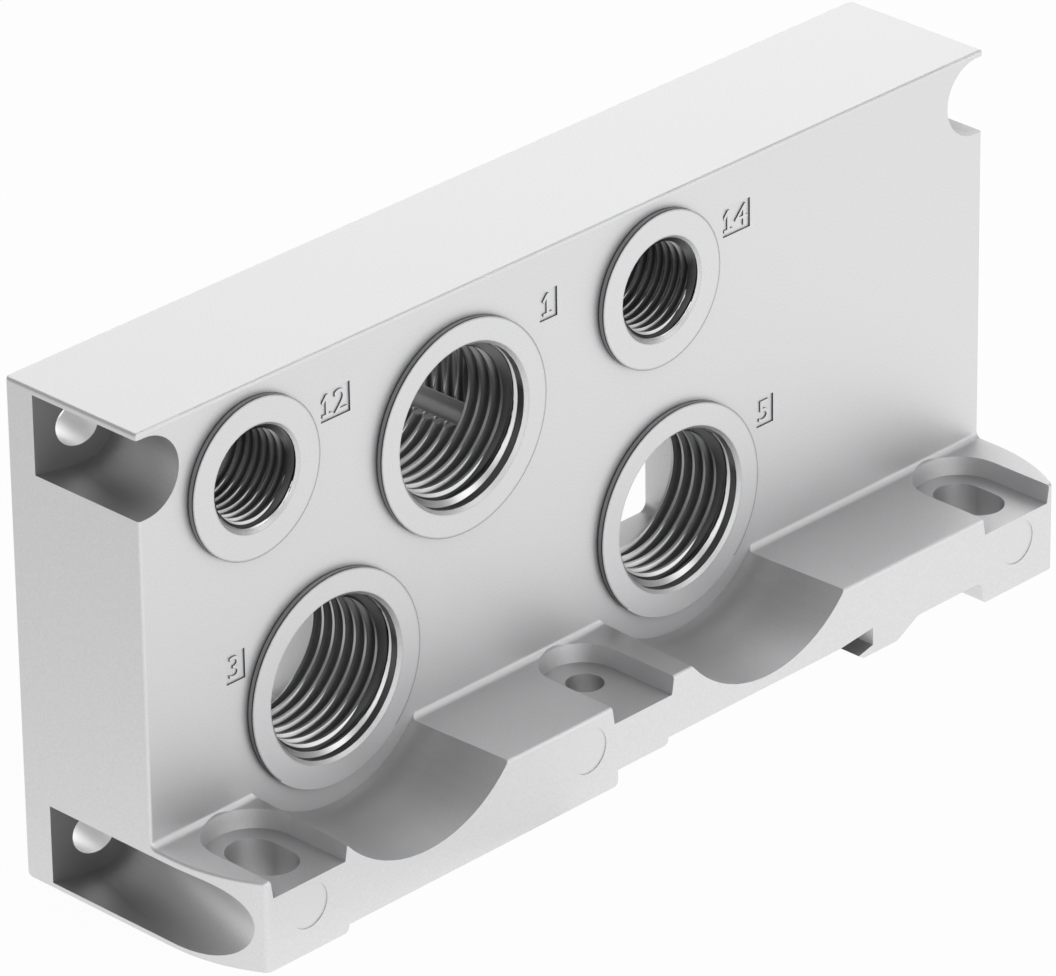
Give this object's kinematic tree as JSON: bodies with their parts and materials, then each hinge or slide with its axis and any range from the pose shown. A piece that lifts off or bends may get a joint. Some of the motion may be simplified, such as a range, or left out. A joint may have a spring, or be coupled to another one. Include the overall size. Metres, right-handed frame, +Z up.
{
  "type": "valve end plate",
  "caption": "Die-cast end plate for a pneumatic valve stack, with threaded ports on its front face, galleries at the back, leaning corner screw pockets and a slotted foot flange.",
  "frame": {"origin": "centre of the bounding box in X and Y, at the plane of the feet in Z", "axes": "+X along the plate to the right as seen from the ports, -Y out of the ports, +Y out of the mating face, +Z up from the feet"},
  "size_m": [0.145, 0.038, 0.066],
  "materials": {
    "end_plate": "blasted satin"
  },
  "bodies": {
    "root": {"end_plate": "end_plate"}
  },
  "joints": []
}
